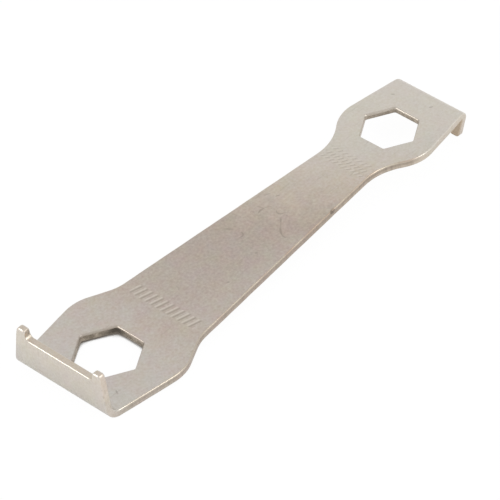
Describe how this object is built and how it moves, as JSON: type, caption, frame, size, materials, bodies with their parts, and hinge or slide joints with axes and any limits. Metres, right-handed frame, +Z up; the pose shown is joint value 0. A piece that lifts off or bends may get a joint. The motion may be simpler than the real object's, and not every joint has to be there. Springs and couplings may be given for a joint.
{
  "type": "chainring bolt tool",
  "caption": "Flat plated-steel peg wrench for slotted chainring bolts, tapered along its length, with hexagon holes and end lips bent opposite ways into pegs.",
  "frame": {"origin": "middle of the tool's length on its centre line, on the underside of the flat plate", "axes": "+X along the tool from the wide end (pegs up) to the narrow end (pegs down), +Y across the plate, +Z up out of the plate's top face"},
  "size_m": [0.0696, 0.0186, 0.0106],
  "materials": {
    "plated_steel": "satin nickel plate over stamped sheet, worn"
  },
  "bodies": {
    "root": {"shank": "plated_steel", "wide_head": "plated_steel", "wide_lip": "plated_steel", "wide_peg_left": "plated_steel", "wide_peg_right": "plated_steel", "narrow_head": "plated_steel", "narrow_lip": "plated_steel", "narrow_peg_left": "plated_steel", "narrow_peg_right": "plated_steel"}
  },
  "joints": []
}
